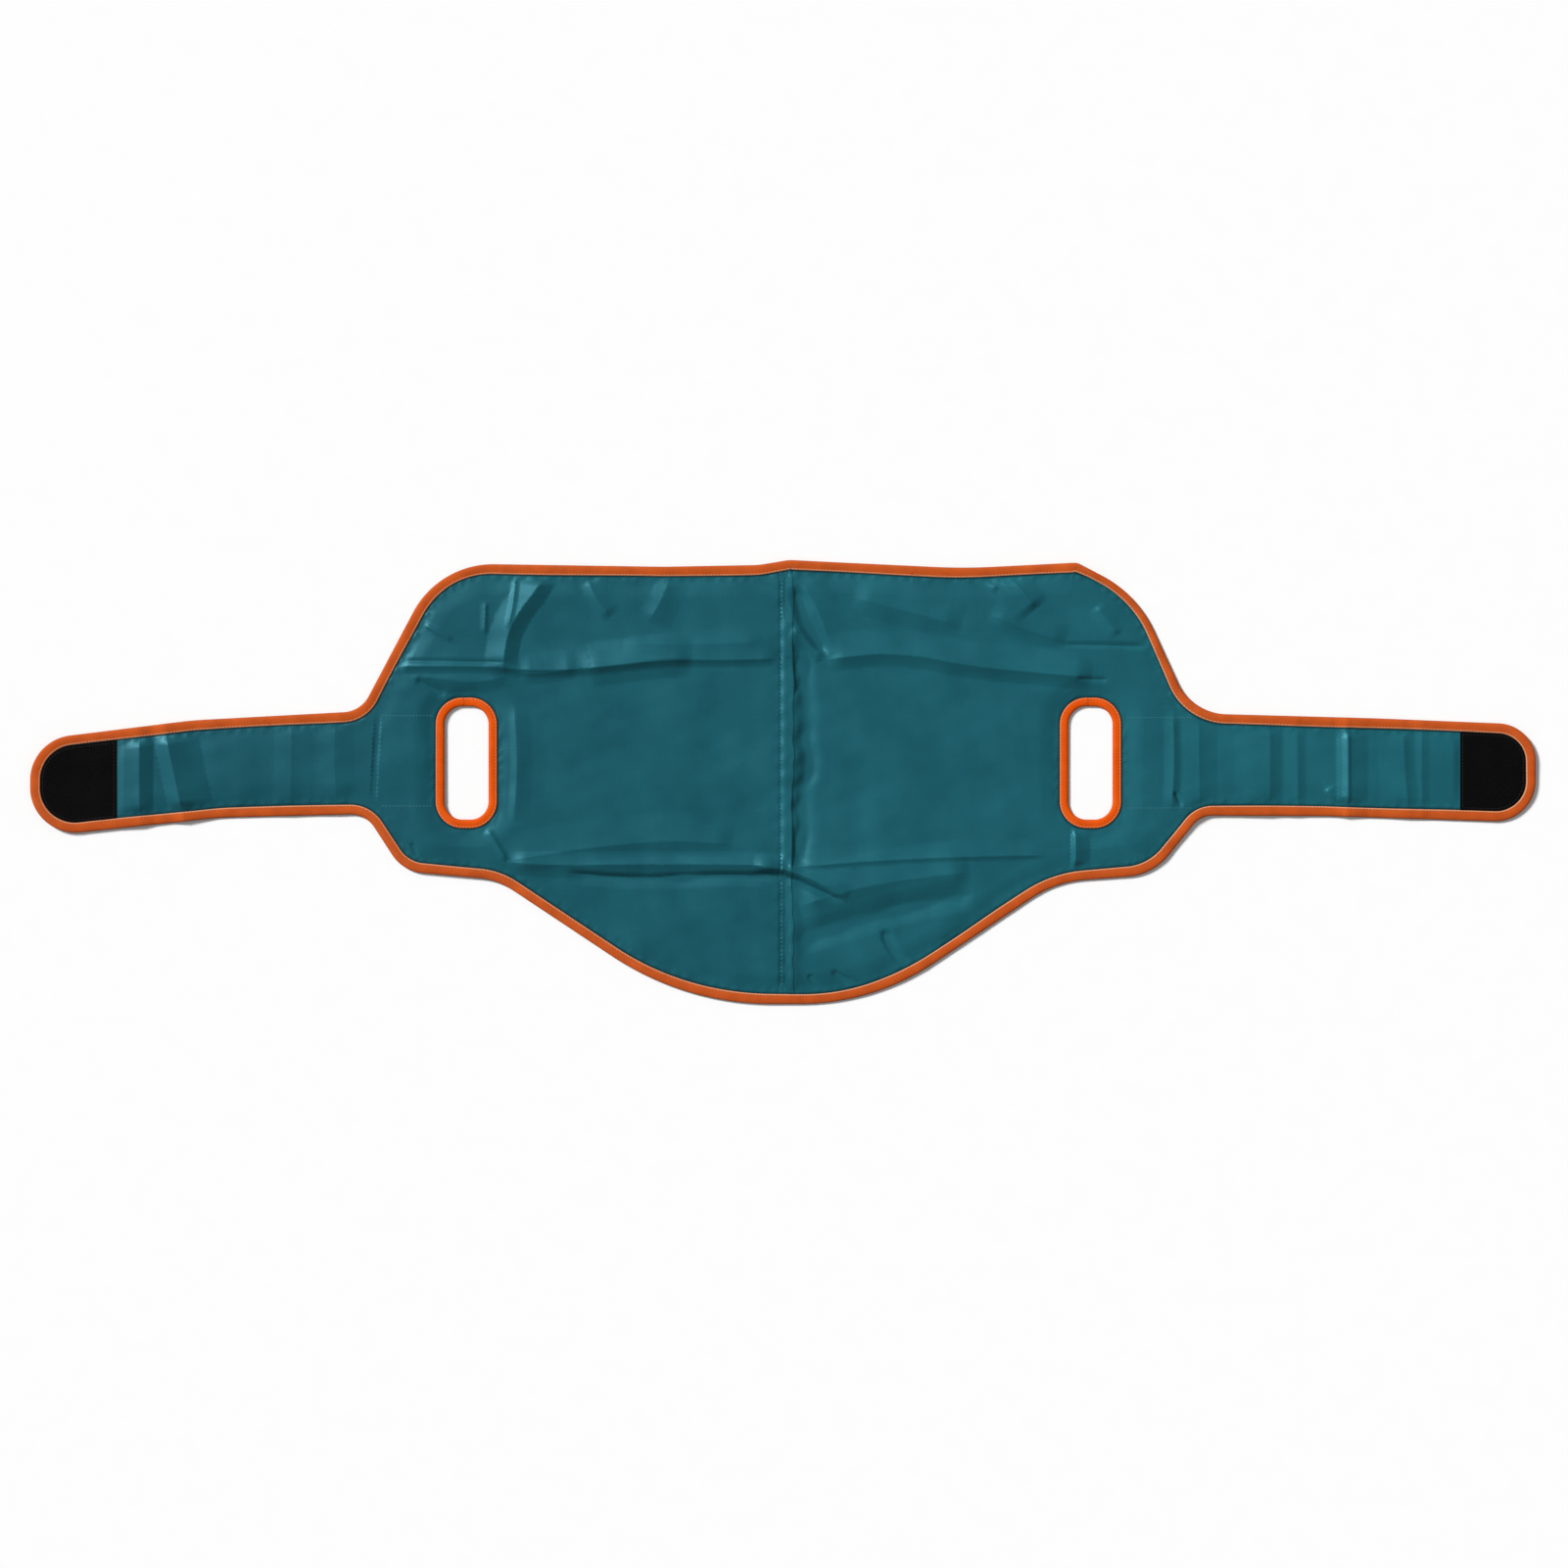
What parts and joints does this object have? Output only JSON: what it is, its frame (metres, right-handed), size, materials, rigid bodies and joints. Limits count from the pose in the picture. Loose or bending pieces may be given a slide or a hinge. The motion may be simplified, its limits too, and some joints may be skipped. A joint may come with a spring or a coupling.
{
  "type": "gait belt",
  "caption": "Wide transfer belt laid flat: cloth body with a hand opening at each side, a strap and hook-and-loop end at each side, bound all round.",
  "frame": {"origin": "under the middle of the belt's length and height, on the surface that it lies on", "axes": "+X along the length towards the wearer's left hand end, as seen from the front face; +Y towards the straight upper edge; +Z out of the front face"},
  "size_m": [1.5, 0.4424, 0.0024],
  "materials": {
    "front_cloth": "satin coated nylon weave",
    "lining_cloth": "matt nylon weave",
    "edge_binding_tape": "ribbed grosgrain tape",
    "handle_binding_tape": "ribbed grosgrain tape",
    "loop_patch": "brushed loop pile",
    "hook_patch": "woven hook tape",
    "webbing": "woven strap",
    "teal_thread": "sewing thread",
    "orange_thread": "sewing thread",
    "black_thread": "sewing thread"
  },
  "bodies": {
    "left_tip": {"left_front_patch": "loop_patch", "left_front_patch_stitching": "black_thread", "left_rear_patch": "hook_patch", "left_rear_patch_stitching": "black_thread", "left_tip_back_cloth": "lining_cloth", "left_tip_binding": "edge_binding_tape", "left_tip_binding_stitching": "orange_thread", "left_tip_front_cloth": "front_cloth"},
    "left_tail": {"left_tail_back_cloth": "lining_cloth", "left_tail_binding": "edge_binding_tape", "left_tail_binding_stitching": "orange_thread", "left_tail_front_cloth": "front_cloth"},
    "left_wing": {"left_handle_binding": "handle_binding_tape", "left_handle_stitching": "orange_thread", "left_strap_insert": "webbing", "left_strap_insert_stitching": "teal_thread", "left_wing_back_cloth": "lining_cloth", "left_wing_binding": "edge_binding_tape", "left_wing_binding_stitching": "orange_thread", "left_wing_front_cloth": "front_cloth"},
    "left_back": {"centre_seam_allowance": "front_cloth", "centre_seam_stitching": "teal_thread", "left_back_back_cloth": "lining_cloth", "left_back_binding": "edge_binding_tape", "left_back_binding_stitching": "orange_thread", "left_back_front_cloth": "front_cloth"},
    "right_back": {"right_back_back_cloth": "lining_cloth", "right_back_binding": "edge_binding_tape", "right_back_binding_stitching": "orange_thread", "right_back_front_cloth": "front_cloth"},
    "right_wing": {"right_handle_binding": "handle_binding_tape", "right_handle_stitching": "orange_thread", "right_strap_insert": "webbing", "right_strap_insert_stitching": "teal_thread", "right_wing_back_cloth": "lining_cloth", "right_wing_binding": "edge_binding_tape", "right_wing_binding_stitching": "orange_thread", "right_wing_front_cloth": "front_cloth"},
    "right_tail": {"right_tail_back_cloth": "lining_cloth", "right_tail_binding": "edge_binding_tape", "right_tail_binding_stitching": "orange_thread", "right_tail_front_cloth": "front_cloth"},
    "right_tip": {"right_front_patch": "loop_patch", "right_front_patch_stitching": "black_thread", "right_rear_patch": "hook_patch", "right_rear_patch_stitching": "black_thread", "right_tip_back_cloth": "lining_cloth", "right_tip_binding": "edge_binding_tape", "right_tip_binding_stitching": "orange_thread", "right_tip_front_cloth": "front_cloth"}
  },
  "joints": [
    {"name": "centre_seam_fold", "type": "hinge", "parent": "left_back", "child": "right_back", "pos_m": [0.01, 0, 0.0271], "axis": [0, -1, 0], "range_deg": [0, 179.9]},
    {"name": "left_side_fold", "type": "hinge", "parent": "left_back", "child": "left_wing", "pos_m": [-0.25, 0, 0.0123], "axis": [0, 1, 0], "range_deg": [0, 179.9]},
    {"name": "left_strap_root_fold", "type": "hinge", "parent": "left_wing", "child": "left_tail", "pos_m": [-0.43, 0, 0.0086], "axis": [0, 1, 0], "range_deg": [0, 179.9]},
    {"name": "left_strap_end_fold", "type": "hinge", "parent": "left_tail", "child": "left_tip", "pos_m": [-0.595, 0, 0.0049], "axis": [0, 1, 0], "range_deg": [0, 179.9]},
    {"name": "right_side_fold", "type": "hinge", "parent": "right_back", "child": "right_wing", "pos_m": [0.25, 0, 0.0123], "axis": [0, -1, 0], "range_deg": [0, 179.9]},
    {"name": "right_strap_root_fold", "type": "hinge", "parent": "right_wing", "child": "right_tail", "pos_m": [0.43, 0, 0.0086], "axis": [0, -1, 0], "range_deg": [0, 179.9]},
    {"name": "right_strap_end_fold", "type": "hinge", "parent": "right_tail", "child": "right_tip", "pos_m": [0.595, 0, 0.0049], "axis": [0, -1, 0], "range_deg": [0, 179.9]}
  ]
}
